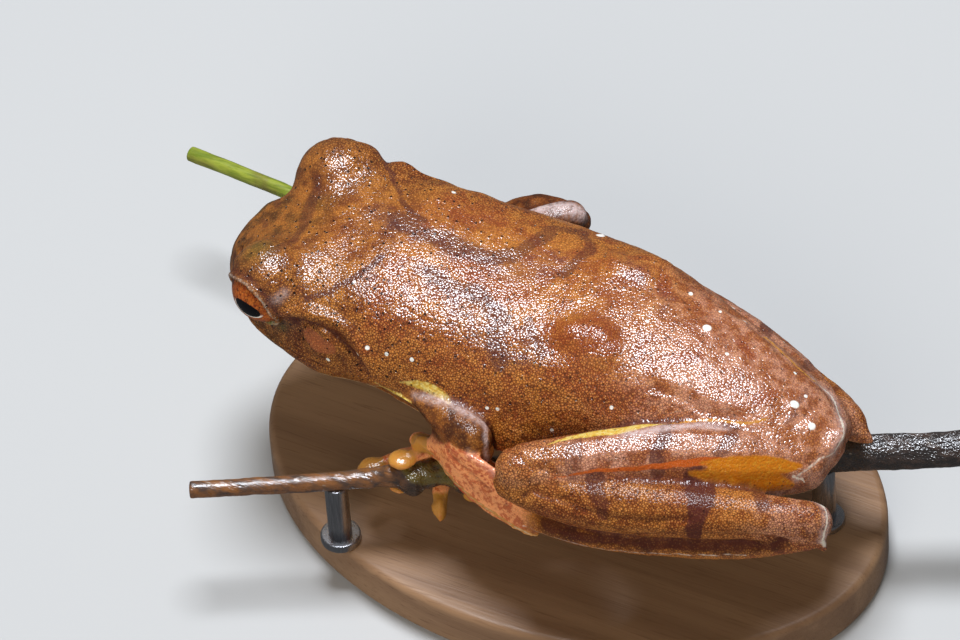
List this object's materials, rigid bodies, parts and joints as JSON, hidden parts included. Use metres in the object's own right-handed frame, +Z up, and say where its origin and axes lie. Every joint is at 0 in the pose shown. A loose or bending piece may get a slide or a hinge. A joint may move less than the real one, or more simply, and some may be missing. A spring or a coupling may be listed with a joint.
{
  "type": "tree frog model",
  "caption": "Life-size still model of a brown red-webbed tree frog at rest, legs folded, on a forked twig held by rods over a flat oval base.",
  "frame": {"origin": "middle of the underside of the oval base, on the surface that it stands on", "axes": "+Z up, the frog's snout points to -X and its left side to -Y; X lies along the oval base's long axis"},
  "size_m": [0.072, 0.0364, 0.0257],
  "materials": {
    "skin_brown": "moist, finely granular skin",
    "skin_limb": "moist, finely granular skin with dark cross bars",
    "skin_red": "moist thin skin and web",
    "eye": "glossy eye with a level black pupil",
    "bark": "wet dark bark",
    "green_bark": "smooth green young bark",
    "stand_wood": "oiled fine-grained wood",
    "stand_steel": "brushed rod"
  },
  "bodies": {
    "root": {"torso": "skin_brown", "head": "skin_brown", "upper_arm_left": "skin_limb", "forearm_left": "skin_limb", "upper_arm_right": "skin_limb", "forearm_right": "skin_limb", "thigh_left": "skin_limb", "shank_left": "skin_limb", "thigh_right": "skin_limb", "shank_right": "skin_limb", "hand_left": "skin_red", "hand_right": "skin_red", "foot_left": "skin_red", "foot_right": "skin_red", "eye_left": "eye", "eye_right": "eye", "perch_branch": "bark", "perch_shoot": "green_bark", "stand_base": "stand_wood", "stand_rod_1": "stand_steel", "stand_rod_2": "stand_steel"}
  },
  "joints": []
}
